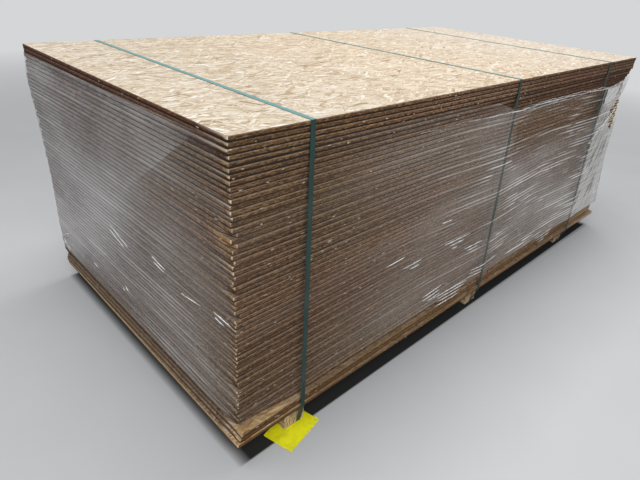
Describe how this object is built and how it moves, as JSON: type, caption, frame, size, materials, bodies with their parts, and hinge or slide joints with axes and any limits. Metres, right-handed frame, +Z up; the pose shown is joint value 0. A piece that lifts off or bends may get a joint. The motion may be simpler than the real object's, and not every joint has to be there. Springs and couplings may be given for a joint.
{
  "type": "stack of osb panels",
  "caption": "Full-size strand boards stacked flush on cross bearers, held by plastic straps and clear stretch film, with fork gaps underneath and a bare yellow tag.",
  "frame": {"origin": "on the floor under the middle of the overall footprint, tag included", "axes": "+X along the boards, +Y across them away from the side with the tag, +Z up"},
  "size_m": [2.5235, 1.347, 0.9628],
  "materials": {
    "osb_board": "raw strand board, sawn brown edges",
    "osb_cover": "pale strand face, lightly sanded",
    "bearer_board": "bonded strand board, sawn",
    "strap_plastic": "embossed green plastic strapping",
    "film_plastic": "clear stretch film in thin wrinkled layers",
    "tag_card": "coated yellow card, bare"
  },
  "bodies": {
    "root": {"top_board": "osb_cover", "boards_top": "osb_board", "boards_upper": "osb_board", "boards_middle": "osb_board", "boards_lower": "osb_board", "boards_bottom": "osb_board", "cover_board": "osb_cover", "bearer_near": "bearer_board", "bearer_middle": "bearer_board", "bearer_far": "bearer_board", "strap_near": "strap_plastic", "strap_middle": "strap_plastic", "strap_far": "strap_plastic", "film": "film_plastic", "tag": "tag_card"}
  },
  "joints": []
}
